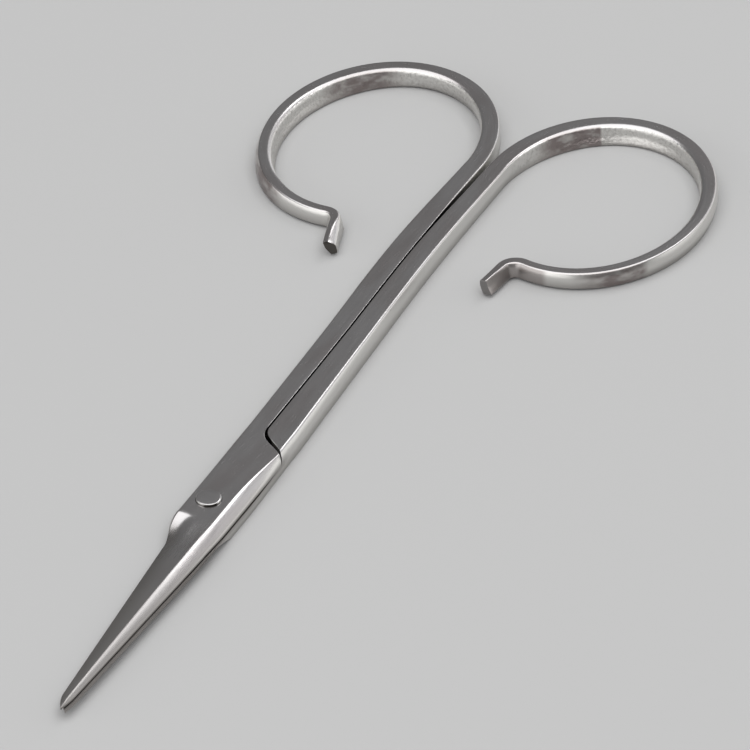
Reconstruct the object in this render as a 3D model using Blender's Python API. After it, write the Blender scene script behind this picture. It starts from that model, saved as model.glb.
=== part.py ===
"""Small steel scissors with open finger rings, lying closed on a flat surface.

Each half is one bar: blade, half-lapped joint plate, shank, finger ring and the outward hook that
ends it. The lower half is built like the upper one and turned over about the long axis, so a half
is described once, in the upper half's own position: its ring towards -X, its joint plate in the
top layer. One rivet holds the two together.

Frame: metres, +Z up, z = 0 the surface that the scissors lie on, the origin on the rivet's axis,
+Y from the rivet to the finger rings, the upper half's ring at -X.
"""

import math

import bmesh
import bpy
from mathutils import Vector

MM = 0.001

# Bar and running gaps, shared by both halves
BAR_THICKNESS = 2.25 * MM
EDGE_BEVEL = 0.12 * MM
LAP_GAP = 0.12 * MM
PARTING_GAP = 0.30 * MM
CUT_OVERRUN = 2.0 * MM

# Places along the bar, measured from the rivet
SHOULDER_FOOT_Y = 13.2 * MM
SHANK_MID_Y = 30.0 * MM
SHANK_NECK_Y = 48.0 * MM
FACET_START_Y = 8.9 * MM
FACET_FULL_Y = 0.5 * MM
UPPER_PLUNGE_Y = -3.3 * MM
LOWER_PLUNGE_Y = -2.6 * MM
HOLLOW_LENGTH = 3.2 * MM
BLADE_ROOT_Y = -8.2 * MM
TIP_ROUND_LENGTH = 0.9 * MM
TIP_Y = -34.9 * MM

# Joint plates: reach of the side walls from the long axis, at mid thickness
JOINT_LEFT = 2.05 * MM
UPPER_JOINT_RIGHT = 3.82 * MM
LOWER_JOINT_RIGHT = 3.97 * MM

# Shoulder between a joint plate and the other half's shank
SHOULDER_CORNER_DROP = 1.9 * MM
SHOULDER_SLOPE_SHARE = 0.62
SHOULDER_FOOT_HANDLE_SHARE = 0.62
SHOULDER_SIDE_HANDLE_SHARE = 0.48
SHOULDER_MIDDLE_SHARE = 0.5
SHOULDER_GAP = 0.20 * MM
SHOULDER_RELIEF = 0.50 * MM
STEP_FILLET = 0.65 * MM

# Parting line between the closed shanks: its distance to the right of the long axis
PARTING_FOOT_X = 0.30 * MM
PARTING_MID_X = 0.10 * MM
PARTING_NECK_X = -0.30 * MM

# Outer sides of the shanks, from the long axis, at mid thickness
UPPER_SHANK_FOOT = 2.15 * MM
UPPER_SHANK_MID = 2.50 * MM
UPPER_SHANK_NECK = 3.00 * MM
LOWER_SHANK_FOOT = 3.65 * MM
LOWER_SHANK_MID = 2.90 * MM
LOWER_SHANK_NECK = 2.25 * MM
SHANK_CROWN = 0.50 * MM
NECK_CROWN = 0.30 * MM

# Finger ring: an open oval whose middle line starts at the shank's end
RING_HALF_WIDTH = 11.6 * MM
RING_HALF_LENGTH = 14.35 * MM
RING_CENTRE_Y = 64.9 * MM
UPPER_RING_SWEEP_DEGREES = 274.5
LOWER_RING_SWEEP_DEGREES = 278.2
RING_ROOT_WIDTH = 2.20 * MM
RING_TOP_WIDTH = 2.00 * MM
RING_SIDE_WIDTH = 1.90 * MM
RING_END_WIDTH = 1.50 * MM
RING_CROWN = 0.14 * MM
RING_SIDE_CROWN = 0.32 * MM

# How far the foot of a ring's inner wall stands out, at six places from the root to the hook
UPPER_FOOT_SPREADS = (-0.20 * MM, -0.30 * MM, 0, 0.50 * MM, 0.58 * MM, 0.20 * MM)
LOWER_FOOT_SPREADS = (-0.13 * MM, 0.60 * MM, 0.62 * MM, 0.10 * MM, 0, -0.14 * MM)

# The same for the foot of its outer wall, at the root, the top, the side and the hook
UPPER_OUTER_SPREADS = (0, 0, 0, 0)
LOWER_OUTER_SPREADS = (0, 0, -0.30 * MM, 0)

# Hooks: a bar's end, bent outwards and twisted, the upper one also rounded off on its long side
HOOK_BEND_RADIUS = 1.60 * MM
HOOK_THICKNESS = 1.75 * MM
UPPER_HOOK_BEND_DEGREES = 76.0
UPPER_HOOK_TWIST_DEGREES = -6.0
UPPER_HOOK_LENGTH = 4.3 * MM
UPPER_HOOK_WIDTH = 1.35 * MM
UPPER_HOOK_CROWN = 0.75 * MM
UPPER_HOOK_FOOT = -0.35 * MM
LOWER_HOOK_BEND_DEGREES = 92.5
LOWER_HOOK_TWIST_DEGREES = -15.0
LOWER_HOOK_LENGTH = 3.6 * MM
LOWER_HOOK_WIDTH = 0.95 * MM
LOWER_HOOK_CROWN = 0.14 * MM
LOWER_HOOK_FOOT = 0.25 * MM

# Blades: plan outline of the upper one, and how far the lower one's edges stand off it
UPPER_EDGE_ROOT_X = -0.73 * MM
UPPER_EDGE_TIP_X = 1.45 * MM
UPPER_SPINE_ROOT_X = 3.65 * MM
UPPER_SPINE_TIP_X = 2.45 * MM
LOWER_EDGE_PROUD = 0.40 * MM
UPPER_EDGE_PROUD = 0.13 * MM
FACET_WIDTH = 1.38 * MM
FACET_TIP_SHARE = 0.5
TIP_THICKNESS = 0.42 * MM
CUTTING_EDGE_LAND = 0.06 * MM
SPINE_LAND = 0.14 * MM

# Rivet: a shank with a low proud head above and a flush head below
RIVET_X = 0.35 * MM
RIVET_Y = -0.30 * MM
RIVET_SHANK_RADIUS = 0.85 * MM
RIVET_HEAD_RADIUS = 1.28 * MM
RIVET_HEAD_DEPTH = 0.55 * MM
RIVET_HEAD_STAND = 0.09 * MM
RIVET_DOME_HEIGHT = 0.08 * MM
RIVET_GAP = 0.06 * MM
RIVET_FLOOR_GAP = 0.05 * MM

# How finely curves are divided
SHANK_STEPS = 24
RING_STEPS = 66
HOOK_BEND_STEPS = 8
HOOK_STRAIGHT_STEPS = 4
SHOULDER_STEPS = 14
FILLET_STEPS = 6
PLATE_STEPS = 9
PLUNGE_STEPS = 14
BLADE_STEPS = 12
TIP_SHARES = (0.0, 0.35, 0.65, 0.85, 0.96)
FACET_SHARES = (1 / 3, 2 / 3)
FACET_CROWN_POWER = 1.5
CIRCLE_SIDES = 48
DOME_STEPS = 5

LAP_Z = BAR_THICKNESS / 2 + LAP_GAP / 2
RING_CENTRE_X = -PARTING_GAP / 2 - RING_ROOT_WIDTH / 2 - RING_HALF_WIDTH


class Hook:
    """How far a ring goes round, and the shape of the hook that ends it."""

    def __init__(self, sweep, bend, twist, length, width, crown, foot):
        self.sweep = math.radians(sweep)
        self.bend = math.radians(bend)
        self.twist = math.radians(twist)
        self.length = length
        self.width = width
        self.crown = crown
        self.foot = foot
        self.quarters = self.sweep / (math.pi / 2)


class Half:
    """The sizes in which the two halves differ, in the upper half's own position."""

    def __init__(self, name, turned, joint, shank, spreads, parting, plunge, edge, spine, hook):
        self.name = name
        self.turned = turned
        self.near, self.far = joint
        self.shank = shank
        self.foot_spreads, self.outer_spreads = spreads
        self.parting = parting
        self.plunge_y = plunge
        self.edge_root, self.edge_tip = edge
        self.spine_root, self.spine_tip = spine
        self.hook = hook

    def point(self, x, y, z):
        """A point of this half: the lower half is turned over about the long axis."""
        if self.turned:
            x, z = -x, BAR_THICKNESS - z
        return Vector((x - RIVET_X, y - RIVET_Y, z))


def make_halves():
    parting = (PARTING_FOOT_X, PARTING_MID_X, PARTING_NECK_X, 0)
    upper = Half(
        "upper_half",
        False,
        joint=(JOINT_LEFT, UPPER_JOINT_RIGHT),
        shank=(UPPER_SHANK_FOOT, UPPER_SHANK_MID, UPPER_SHANK_NECK),
        spreads=(UPPER_FOOT_SPREADS, UPPER_OUTER_SPREADS),
        parting=parting,
        plunge=UPPER_PLUNGE_Y,
        edge=(UPPER_EDGE_ROOT_X, UPPER_EDGE_TIP_X),
        spine=(UPPER_SPINE_ROOT_X, UPPER_SPINE_TIP_X),
        hook=Hook(
            sweep=UPPER_RING_SWEEP_DEGREES,
            bend=UPPER_HOOK_BEND_DEGREES,
            twist=UPPER_HOOK_TWIST_DEGREES,
            length=UPPER_HOOK_LENGTH,
            width=UPPER_HOOK_WIDTH,
            crown=UPPER_HOOK_CROWN,
            foot=UPPER_HOOK_FOOT,
        ),
    )
    lower = Half(
        "lower_half",
        True,
        joint=(LOWER_JOINT_RIGHT, JOINT_LEFT),
        shank=(LOWER_SHANK_FOOT, LOWER_SHANK_MID, LOWER_SHANK_NECK),
        spreads=(LOWER_FOOT_SPREADS, LOWER_OUTER_SPREADS),
        parting=tuple(-x for x in parting),
        plunge=LOWER_PLUNGE_Y,
        edge=(-UPPER_SPINE_ROOT_X - LOWER_EDGE_PROUD, -UPPER_SPINE_TIP_X - LOWER_EDGE_PROUD),
        spine=(-UPPER_EDGE_ROOT_X - UPPER_EDGE_PROUD, -UPPER_EDGE_TIP_X - UPPER_EDGE_PROUD),
        hook=Hook(
            sweep=LOWER_RING_SWEEP_DEGREES,
            bend=LOWER_HOOK_BEND_DEGREES,
            twist=LOWER_HOOK_TWIST_DEGREES,
            length=LOWER_HOOK_LENGTH,
            width=LOWER_HOOK_WIDTH,
            crown=LOWER_HOOK_CROWN,
            foot=LOWER_HOOK_FOOT,
        ),
    )
    return upper, lower


def mix(a, b, share):
    return a + (b - a) * share


def ease(share):
    """A smooth step from 0 to 1."""
    share = min(max(share, 0), 1)
    return share * share * (3 - 2 * share)


def through(places, values, place):
    """A smooth curve through the values at rising places (cubic, slopes from the neighbours)."""
    slopes = []
    last = len(places) - 1
    for i in range(len(places)):
        before, after = max(i - 1, 0), min(i + 1, last)
        slopes.append((values[after] - values[before]) / (places[after] - places[before]))
    if place <= places[0]:
        return values[0]
    if place >= places[last]:
        return values[last]
    i = max(k for k in range(last) if places[k] <= place)
    span = places[i + 1] - places[i]
    t = (place - places[i]) / span
    rise = (values[i + 1] - values[i]) * ease(t)
    bend_in = slopes[i] * span * t * (1 - t) ** 2
    bend_out = slopes[i + 1] * span * t * t * (1 - t)
    return values[i] + rise + bend_in - bend_out


def bezier(p0, p1, p2, p3, t):
    s = 1 - t
    weights = (s ** 3, 3 * s * s * t, 3 * s * t * t, t ** 3)
    x = sum(w * p[0] for w, p in zip(weights, (p0, p1, p2, p3)))
    y = sum(w * p[1] for w, p in zip(weights, (p0, p1, p2, p3)))
    return x, y


def mesh_object(name, build):
    """A new object whose mesh is filled by build(bm), with its faces turned outwards."""
    bm = bmesh.new()
    build(bm)
    bmesh.ops.recalc_face_normals(bm, faces=bm.faces)
    mesh = bpy.data.meshes.new(name)
    bm.to_mesh(mesh)
    bm.free()
    obj = bpy.data.objects.new(name, mesh)
    bpy.context.scene.collection.objects.link(obj)
    return obj


def loft(bm, sections):
    """Join equal closed sections one after another and cap both ends."""
    rings = [[bm.verts.new(point) for point in section] for section in sections]
    count = len(rings[0])
    for lower, upper in zip(rings, rings[1:]):
        for i in range(count):
            j = (i + 1) % count
            bm.faces.new((lower[i], lower[j], upper[j], upper[i]))
    bm.faces.new(rings[0])
    bm.faces.new(rings[-1])


def guide(obj):
    """Hide a body that only cuts or joins another one."""
    obj.hide_render = True
    obj.display_type = "WIRE"
    return obj


def boolean(obj, operation, other):
    modifier = obj.modifiers.new(operation.lower() + "_" + other.name, "BOOLEAN")
    modifier.operation = operation
    modifier.solver = "EXACT"
    modifier.object = other


def steel(name, colour, roughness):
    material = bpy.data.materials.new(name)
    material.use_nodes = True
    shader = material.node_tree.nodes["Principled BSDF"]
    shader.inputs["Base Color"].default_value = (*colour, 1)
    shader.inputs["Metallic"].default_value = 1.0
    shader.inputs["Roughness"].default_value = roughness
    return material


def side_profile(thickness, crown, spread):
    """A bar's side as (height over the middle, distance in from the side), foot first.

    The upper part is crowned and the foot stands straight, or out by the spread.
    """
    half = thickness / 2
    flat = LAP_GAP / 2
    return [
        (-half, EDGE_BEVEL - spread),
        (EDGE_BEVEL - half, -spread),
        (-half / 2, -spread / 2),
        (-flat, 0),
        (flat, 0),
        (half / 2, crown / 4),
        (half - EDGE_BEVEL, crown),
        (half, crown + EDGE_BEVEL),
    ]


def bar_section(half, width, thickness, left_side, right_side):
    """A bar's cross-section about its middle: (towards the left, height), for this half.

    Each side is given by its crown and by the spread of its foot.
    """
    section = []
    for height, inset in side_profile(thickness, *right_side):
        section.append((-width / 2 + inset, height))
    for height, inset in reversed(side_profile(thickness, *left_side)):
        section.append((width / 2 - inset, height))
    if half.turned:
        section = [(left, -height) for left, height in section]
    return section


def shank_places():
    return (SHOULDER_FOOT_Y, SHANK_MID_Y, SHANK_NECK_Y, RING_CENTRE_Y)


def shank_inner_x(half, y):
    """The shank's flat side, along the parting line."""
    return through(shank_places(), half.parting, y) - PARTING_GAP / 2


def outer_wall_x(half, y):
    """The bar's outer side at mid thickness, along joint and shank."""
    if y < SHOULDER_FOOT_Y:
        return -mix(half.near, half.shank[0], ease(y / SHOULDER_FOOT_Y))
    root = PARTING_GAP / 2 + RING_ROOT_WIDTH
    return -through(shank_places(), (*half.shank, root), y)


def joint_stations(half):
    """Places of the sections between the shoulder's foot and the plunge."""
    return [mix(SHOULDER_FOOT_Y, half.plunge_y, i / PLATE_STEPS) for i in range(PLATE_STEPS)]


def shank_sections(half):
    """Sections from inside the joint up to the start of the ring."""
    step_end = shoulder_side_y(half.near) - STEP_FILLET - EDGE_BEVEL
    stations = joint_stations(half)
    while stations[-2] < step_end:
        stations.pop()
    stations.reverse()
    for i in range(1, SHANK_STEPS):
        stations.append(mix(SHOULDER_FOOT_Y, RING_CENTRE_Y, i / (SHANK_STEPS - 1)))
    sections = []
    for y in stations:
        inner, outer = shank_inner_x(half, y), outer_wall_x(half, y)
        along = (SHANK_CROWN, mix(SHANK_CROWN, NECK_CROWN, 0.5), NECK_CROWN, RING_CROWN)
        crown = through(shank_places(), along, y)
        nearing = ease((y - SHANK_NECK_Y) / (RING_CENTRE_Y - SHANK_NECK_Y))
        middle = (inner + outer) / 2
        outer_side = (crown, half.foot_spreads[0] * nearing)
        flat_side = (RING_CROWN * nearing, 0)
        section = bar_section(half, inner - outer, BAR_THICKNESS, outer_side, flat_side)
        points = [half.point(middle - left, y, BAR_THICKNESS / 2 + up) for left, up in section]
        sections.append(points)
    return sections


def ring_path(hook):
    """Middle line of ring and hook: (x, y, heading, quarters of the ring, share of the hook)."""
    path = []
    for i in range(RING_STEPS + 1):
        angle = hook.sweep * i / RING_STEPS
        x = RING_CENTRE_X + RING_HALF_WIDTH * math.cos(angle)
        y = RING_CENTRE_Y + RING_HALF_LENGTH * math.sin(angle)
        heading = math.atan2(RING_HALF_LENGTH * math.cos(angle), -RING_HALF_WIDTH * math.sin(angle))
        path.append((x, y, heading, angle / (math.pi / 2), 0))
    x, y, heading, quarter, _ = path[-1]
    centre_x = x + HOOK_BEND_RADIUS * math.sin(heading)
    centre_y = y - HOOK_BEND_RADIUS * math.cos(heading)
    arc_length = HOOK_BEND_RADIUS * hook.bend
    whole = arc_length + hook.length
    for i in range(1, HOOK_BEND_STEPS + 1):
        share = i / HOOK_BEND_STEPS
        turned = heading - hook.bend * share
        x = centre_x - HOOK_BEND_RADIUS * math.sin(turned)
        y = centre_y + HOOK_BEND_RADIUS * math.cos(turned)
        path.append((x, y, turned, quarter, arc_length * share / whole))
    end_x, end_y = x, y
    for i in range(1, HOOK_STRAIGHT_STEPS + 1):
        run = hook.length * i / HOOK_STRAIGHT_STEPS
        x = end_x + run * math.cos(turned)
        y = end_y + run * math.sin(turned)
        path.append((x, y, turned, quarter, (arc_length + run) / whole))
    return path


def ring_sections(half):
    """Sections of the ring and the hook, square to their middle line."""
    hook = half.hook
    quarters = (0, 1, 2, hook.quarters)
    widths = (RING_ROOT_WIDTH, RING_TOP_WIDTH, RING_SIDE_WIDTH, RING_END_WIDTH)
    crown_list = (RING_CROWN, RING_CROWN, RING_SIDE_CROWN, RING_SIDE_CROWN)
    half_quarters = (0, 1 / 2, 1, 3 / 2, 2, hook.quarters)
    sections = []
    for x, y, heading, quarter, share in ring_path(hook):
        out = ease(share)
        width = mix(through(quarters, widths, quarter), hook.width, out)
        outer_crown = mix(through(quarters, crown_list, quarter), RING_CROWN, out)
        inner_spread = mix(through(half_quarters, half.foot_spreads, quarter), -RING_CROWN, out)
        outer_spread = mix(through(quarters, half.outer_spreads, quarter), hook.foot, out)
        inner_side = (mix(RING_CROWN, hook.crown, out), inner_spread)
        outer_side = (outer_crown, outer_spread)
        thinning = ease((quarter - 2) / (hook.quarters - 2))
        thickness = mix(BAR_THICKNESS, HOOK_THICKNESS, thinning)
        twist = hook.twist * out
        points = []
        for left, up in bar_section(half, width, thickness, inner_side, outer_side):
            across = left * math.cos(twist) + up * math.sin(twist)
            height = up * math.cos(twist) - left * math.sin(twist)
            px = x - across * math.sin(heading)
            py = y + across * math.cos(heading)
            points.append(half.point(px, py, BAR_THICKNESS / 2 + height))
        sections.append(points)
    return sections


def shoulder_side_y(reach):
    """Where a joint plate's shoulder meets the plate's side wall."""
    return SHOULDER_FOOT_Y - SHOULDER_CORNER_DROP - SHOULDER_SLOPE_SHARE * reach


def shoulder_curve(start_x, reach, gap, relief):
    """Plan line of a shoulder: a rounded corner at the parting line, then an ogee to the side."""
    side_y = shoulder_side_y(reach)
    drop = SHOULDER_FOOT_Y - side_y
    p0 = (start_x, SHOULDER_FOOT_Y)
    p1 = (start_x, SHOULDER_FOOT_Y - SHOULDER_FOOT_HANDLE_SHARE * drop + relief)
    p2_y = side_y + SHOULDER_SIDE_HANDLE_SHARE * drop + gap + relief / 2
    p2 = (mix(start_x, reach, SHOULDER_MIDDLE_SHARE), p2_y)
    p3 = (reach, side_y + gap)
    line = [bezier(p0, p1, p2, p3, i / SHOULDER_STEPS) for i in range(SHOULDER_STEPS + 1)]
    slope = (line[-1][1] - line[-2][1]) / (line[-1][0] - line[-2][0])
    line.append((reach + CUT_OVERRUN, line[-1][1] + slope * CUT_OVERRUN))
    return line


def shoulder_block(bm, half, line, radius, upward):
    """The space on one side of the lap: below the shoulder line, its inner edge rounded.

    With upward the space above the lap face, else the space under it. The line runs across the
    bar, and every station repeats the same profile at its own place along the bar: a bevel at the
    bar's face, the shoulder and the rounding into the lap face.
    """
    sign = 1 if upward else -1
    face = BAR_THICKNESS if upward else 0
    far_y = TIP_Y - CUT_OVERRUN
    outside = face + sign * CUT_OVERRUN
    sections = []
    for x, y in line:
        lip = y - sign * (EDGE_BEVEL + CUT_OVERRUN)
        profile = [(far_y, outside), (lip, outside), (y, face - sign * EDGE_BEVEL)]
        for i in range(FILLET_STEPS + 1):
            angle = math.pi / 2 * i / FILLET_STEPS
            along = y - radius + radius * math.cos(angle)
            height = LAP_Z + sign * (radius - radius * math.sin(angle))
            profile.append((along, height))
        profile.append((far_y, LAP_Z))
        sections.append([half.point(x, py, pz) for py, pz in profile])
    loft(bm, sections)


def plate_block(half):
    """Everything that may be joint plate: above the lap face, this side of the shoulder."""
    inner = shank_inner_x(half, SHOULDER_FOOT_Y)
    line = [(-half.near - CUT_OVERRUN, SHOULDER_FOOT_Y)]
    line += shoulder_curve(inner, half.far, 0, 0)
    radius = STEP_FILLET - SHOULDER_GAP

    def build(bm):
        shoulder_block(bm, half, line, radius, upward=True)

    return guide(mesh_object(half.name + "_plate_limit", build))


def step_block(half):
    """What the other half's plate takes out of this half's bar, under the lap face."""
    inner = shank_inner_x(half, SHOULDER_FOOT_Y)
    mirrored = shoulder_curve(-inner, half.near, SHOULDER_GAP, SHOULDER_RELIEF)
    line = [(-x, y) for x, y in mirrored]
    line.insert(0, (inner + CUT_OVERRUN, SHOULDER_FOOT_Y))

    def build(bm):
        shoulder_block(bm, half, line, STEP_FILLET, upward=False)

    return guide(mesh_object(half.name + "_step_cutter", build))


def facet_width(half, y, near_x, far_x):
    """Width of the sloping facet along the spine, from the shoulder to the tip."""
    if y >= BLADE_ROOT_Y:
        grown = (FACET_START_Y - y) / (FACET_START_Y - FACET_FULL_Y)
        swell = math.sin(math.pi / 2 * min(max(grown, 0), 1))
        return mix(SHANK_CROWN + EDGE_BEVEL, FACET_WIDTH, swell)
    root_share = FACET_WIDTH / (half.spine_root - half.edge_root)
    along = (BLADE_ROOT_Y - y) / (BLADE_ROOT_Y - TIP_Y)
    return (far_x - near_x) * mix(root_share, FACET_TIP_SHARE, along)


def plate_section(half, y, taper):
    """Joint plate and blade across: near side or cutting edge, top, spine facet, lap face."""
    plunge = min(max((half.plunge_y - y) / (half.plunge_y - BLADE_ROOT_Y), 0), 1)
    sunk = math.sin(math.pi / 2 * min(max((half.plunge_y - y) / HOLLOW_LENGTH, 0), 1))
    along = max((BLADE_ROOT_Y - y) / (BLADE_ROOT_Y - TIP_Y), 0)
    edge_x = mix(half.edge_root, half.edge_tip, along)
    spine_x = mix(half.spine_root, half.spine_tip, along)
    near_x = mix(outer_wall_x(half, y), edge_x, ease(plunge))
    far_x = mix(half.far, spine_x, ease(plunge))
    middle = (near_x + far_x) / 2
    near_x = mix(middle, near_x, taper)
    far_x = mix(middle, far_x, taper)

    thinned = max((half.plunge_y - y) / (half.plunge_y - TIP_Y), 0)
    rise = mix(BAR_THICKNESS - LAP_Z, TIP_THICKNESS, thinned) * mix(0.5, 1, taper)
    wall = mix(rise, CUTTING_EDGE_LAND, sunk)
    points = []
    profile = side_profile(BAR_THICKNESS, SHANK_CROWN, 0)
    side = profile[3::-1] if half.turned else profile[4:]
    for height, inset in side:
        up = (abs(height) - LAP_GAP / 2) / (BAR_THICKNESS / 2 - LAP_GAP / 2)
        points.append((near_x + inset * (1 - sunk), LAP_Z + wall * up))
    facet = facet_width(half, y, near_x, far_x)
    points.append((far_x - facet, LAP_Z + rise))
    land = SPINE_LAND
    for share in reversed(FACET_SHARES):
        inset = facet * share ** FACET_CROWN_POWER
        points.append((far_x - inset, LAP_Z + mix(land, rise, share)))
    points.append((far_x, LAP_Z + land))
    points.append((far_x, LAP_Z))
    return [half.point(x, y, z) for x, z in points]


def plate_body(half):
    """Joint plate and blade, still square at the shoulder end."""
    stations = [(y, 1) for y in joint_stations(half)]
    for i in range(PLUNGE_STEPS):
        stations.append((mix(half.plunge_y, BLADE_ROOT_Y, i / PLUNGE_STEPS), 1))
    round_y = TIP_Y + TIP_ROUND_LENGTH
    for i in range(BLADE_STEPS):
        stations.append((mix(BLADE_ROOT_Y, round_y, i / BLADE_STEPS), 1))
    for share in TIP_SHARES:
        stations.append((round_y - TIP_ROUND_LENGTH * share, math.sqrt(1 - share * share)))

    def build(bm):
        loft(bm, [plate_section(half, y, taper) for y, taper in stations])

    return guide(mesh_object(half.name + "_plate", build))


def turned_body(name, profile):
    """A solid of revolution about the rivet's axis, from (radius, height) points on the outside."""

    def build(bm):
        rings = []
        for radius, height in profile:
            ring = []
            for i in range(CIRCLE_SIDES):
                angle = 2 * math.pi * i / CIRCLE_SIDES
                ring.append(Vector((radius * math.cos(angle), radius * math.sin(angle), height)))
            rings.append(ring)
        loft(bm, rings)

    return mesh_object(name, build)


def rivet_profile(gap, reach_down, reach_up):
    """Countersunk at both faces; gap widens it into the hole that the halves have for it."""
    head = RIVET_HEAD_RADIUS + gap
    shank = RIVET_SHANK_RADIUS + gap
    top = BAR_THICKNESS
    return [
        (head, -reach_down),
        (head, RIVET_FLOOR_GAP),
        (shank, RIVET_HEAD_DEPTH),
        (shank, top - RIVET_HEAD_DEPTH),
        (head, top - RIVET_FLOOR_GAP),
        (head, top + reach_up),
    ]


def make_rivet():
    profile = rivet_profile(0, 0, 0)
    profile[0] = (RIVET_HEAD_RADIUS - EDGE_BEVEL, 0)
    stand = BAR_THICKNESS + RIVET_HEAD_STAND
    profile[-1] = (RIVET_HEAD_RADIUS, stand)
    crown_radius = RIVET_HEAD_RADIUS - EDGE_BEVEL
    for i in range(DOME_STEPS):
        angle = math.pi / 2 * i / DOME_STEPS
        radius = crown_radius * math.cos(angle)
        profile.append((radius, stand + EDGE_BEVEL + RIVET_DOME_HEIGHT * math.sin(angle)))
    rivet = turned_body("pivot_rivet", profile)
    rivet.data.shade_smooth()
    rivet.data.set_sharp_from_angle(angle=math.radians(35))
    rivet.data.materials.append(steel("rivet_steel", (0.40, 0.40, 0.40), 0.32))
    return rivet


def make_half(half, hole, material):
    """Bar with the step milled out, joined to its plate and blade, then drilled."""

    def build(bm):
        loft(bm, shank_sections(half) + ring_sections(half)[1:])

    body = mesh_object(half.name, build)
    plate = plate_body(half)
    boolean(plate, "INTERSECT", plate_block(half))
    boolean(body, "DIFFERENCE", step_block(half))
    boolean(body, "UNION", plate)
    boolean(body, "DIFFERENCE", hole)
    body.data.shade_smooth()
    body.data.set_sharp_from_angle(angle=math.radians(28))
    body.data.materials.append(material)
    return body


def clear_scene():
    for obj in list(bpy.data.objects):
        bpy.data.objects.remove(obj, do_unlink=True)


def build_scissors():
    clear_scene()
    make_rivet()
    hole = guide(turned_body("rivet_hole", rivet_profile(RIVET_GAP, CUT_OVERRUN, CUT_OVERRUN)))
    upper, lower = make_halves()
    make_half(upper, hole, steel("upper_half_steel", (0.42, 0.42, 0.42), 0.28))
    make_half(lower, hole, steel("lower_half_steel", (0.40, 0.40, 0.40), 0.30))


build_scissors()
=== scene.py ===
"""Looks of small steel scissors with open finger rings, in the order in which they are put together.

Metres, +Z up, z = 0 the table, the origin on the rivet's axis, +Y towards the finger rings.
"""

import math

import bmesh
import bpy
from mathutils import Matrix, Vector, kdtree


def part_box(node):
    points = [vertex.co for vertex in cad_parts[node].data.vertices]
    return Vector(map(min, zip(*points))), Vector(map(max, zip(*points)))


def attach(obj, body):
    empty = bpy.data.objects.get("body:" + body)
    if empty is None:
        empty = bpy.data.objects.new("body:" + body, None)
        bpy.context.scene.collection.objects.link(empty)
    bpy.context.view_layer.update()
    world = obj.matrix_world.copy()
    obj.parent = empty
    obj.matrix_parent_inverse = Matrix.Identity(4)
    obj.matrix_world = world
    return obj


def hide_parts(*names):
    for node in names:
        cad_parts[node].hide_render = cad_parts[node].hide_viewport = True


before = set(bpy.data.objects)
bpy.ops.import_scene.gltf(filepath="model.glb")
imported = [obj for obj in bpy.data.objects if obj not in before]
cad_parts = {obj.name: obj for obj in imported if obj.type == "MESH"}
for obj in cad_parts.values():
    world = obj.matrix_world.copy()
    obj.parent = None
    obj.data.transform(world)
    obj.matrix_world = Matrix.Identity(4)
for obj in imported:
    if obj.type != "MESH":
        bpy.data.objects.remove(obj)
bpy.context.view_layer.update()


# The two halves: bars
# Each half starts as one forged steel bar of even thickness. It is ground flat on both faces, its
# edges are eased by hand, and it is bent round a former into an open finger ring with a hook.

MM = 0.001
upper_low, upper_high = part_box("upper_half")
BAR_THICKNESS = upper_high.z - upper_low.z
LAP_GAP = 0.12 * MM
PARTING_GAP = 0.30 * MM
SHANK_GAP = 0.18 * MM
CUT_OVERRUN = 2.0 * MM

# The rivet's axis is the origin; the bars are described about their long axis, beside it
RIVET_X = 0.35 * MM
RIVET_Y = -0.30 * MM

SHOULDER_FOOT_Y = 13.2 * MM
SHANK_MID_Y = 30.0 * MM
SHANK_NECK_Y = 48.0 * MM
RING_CENTRE_Y = 64.9 * MM
PARTING_X = (0.30 * MM, 0.10 * MM, -0.30 * MM, 0)
UPPER_SHANK = (2.15 * MM, 2.50 * MM, 3.00 * MM)
LOWER_SHANK = (3.65 * MM, 2.90 * MM, 2.25 * MM)
SHANK_CROWN = 0.50 * MM
NECK_CROWN = 0.30 * MM
SHANK_STEP = 0.6 * MM

RING_HALF_WIDTH = 11.6 * MM
RING_HALF_LENGTH = 14.35 * MM
RING_WIDTHS = (2.20 * MM, 2.00 * MM, 1.90 * MM, 1.50 * MM)
RING_INNER_CROWN = 0.14 * MM
RING_OUTER_CROWNS = (0.14 * MM, 0.14 * MM, 0.32 * MM, 0.32 * MM)
UPPER_INNER_FEET = (-0.20 * MM, -0.30 * MM, 0, 0.50 * MM, 0.58 * MM, 0.20 * MM)
LOWER_INNER_FEET = (-0.13 * MM, 0.60 * MM, 0.62 * MM, 0.10 * MM, 0, -0.14 * MM)
UPPER_OUTER_FEET = (0, 0, 0, 0)
LOWER_OUTER_FEET = (0, 0, -0.30 * MM, 0)
RING_CENTRE_X = -PARTING_GAP / 2 - RING_WIDTHS[0] / 2 - RING_HALF_WIDTH
RING_STEPS = 184

HOOK_BEND_RADIUS = 1.60 * MM
HOOK_THICKNESS = 1.75 * MM
HOOK_BEND_STEPS = 20
HOOK_STRAIGHT_STEPS = 8
HOOK_END_ROUND = 0.10 * MM
HOOK_END_STEPS = 4

# Rounding of the bar's edges: the inside of the rings is eased more, for the fingers
OUTER_EDGE_RADIUS = 0.12 * MM
INNER_EDGE_RADIUS = 0.16 * MM
RING_EASING = (1.2, 2.4, 3.2, 2.6, 3.4, 1.0)
PARTING_EASING = 0.4
CORNER_POINTS = 8
WALL_POINTS = 6

# Bar and joint plate are ground in one pass: points this near to a face's plane lie in it
SNAP = 0.0005 * MM


class Hook:
    """How far a ring goes round, and the shape of the hook that ends it."""

    def __init__(self, sweep, bend, twist, length, width, crown, foot):
        self.sweep = math.radians(sweep)
        self.bend = math.radians(bend)
        self.twist = math.radians(twist)
        self.length = length
        self.width = width
        self.crown = crown
        self.foot = foot
        self.quarters = self.sweep / (math.pi / 2)


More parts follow.
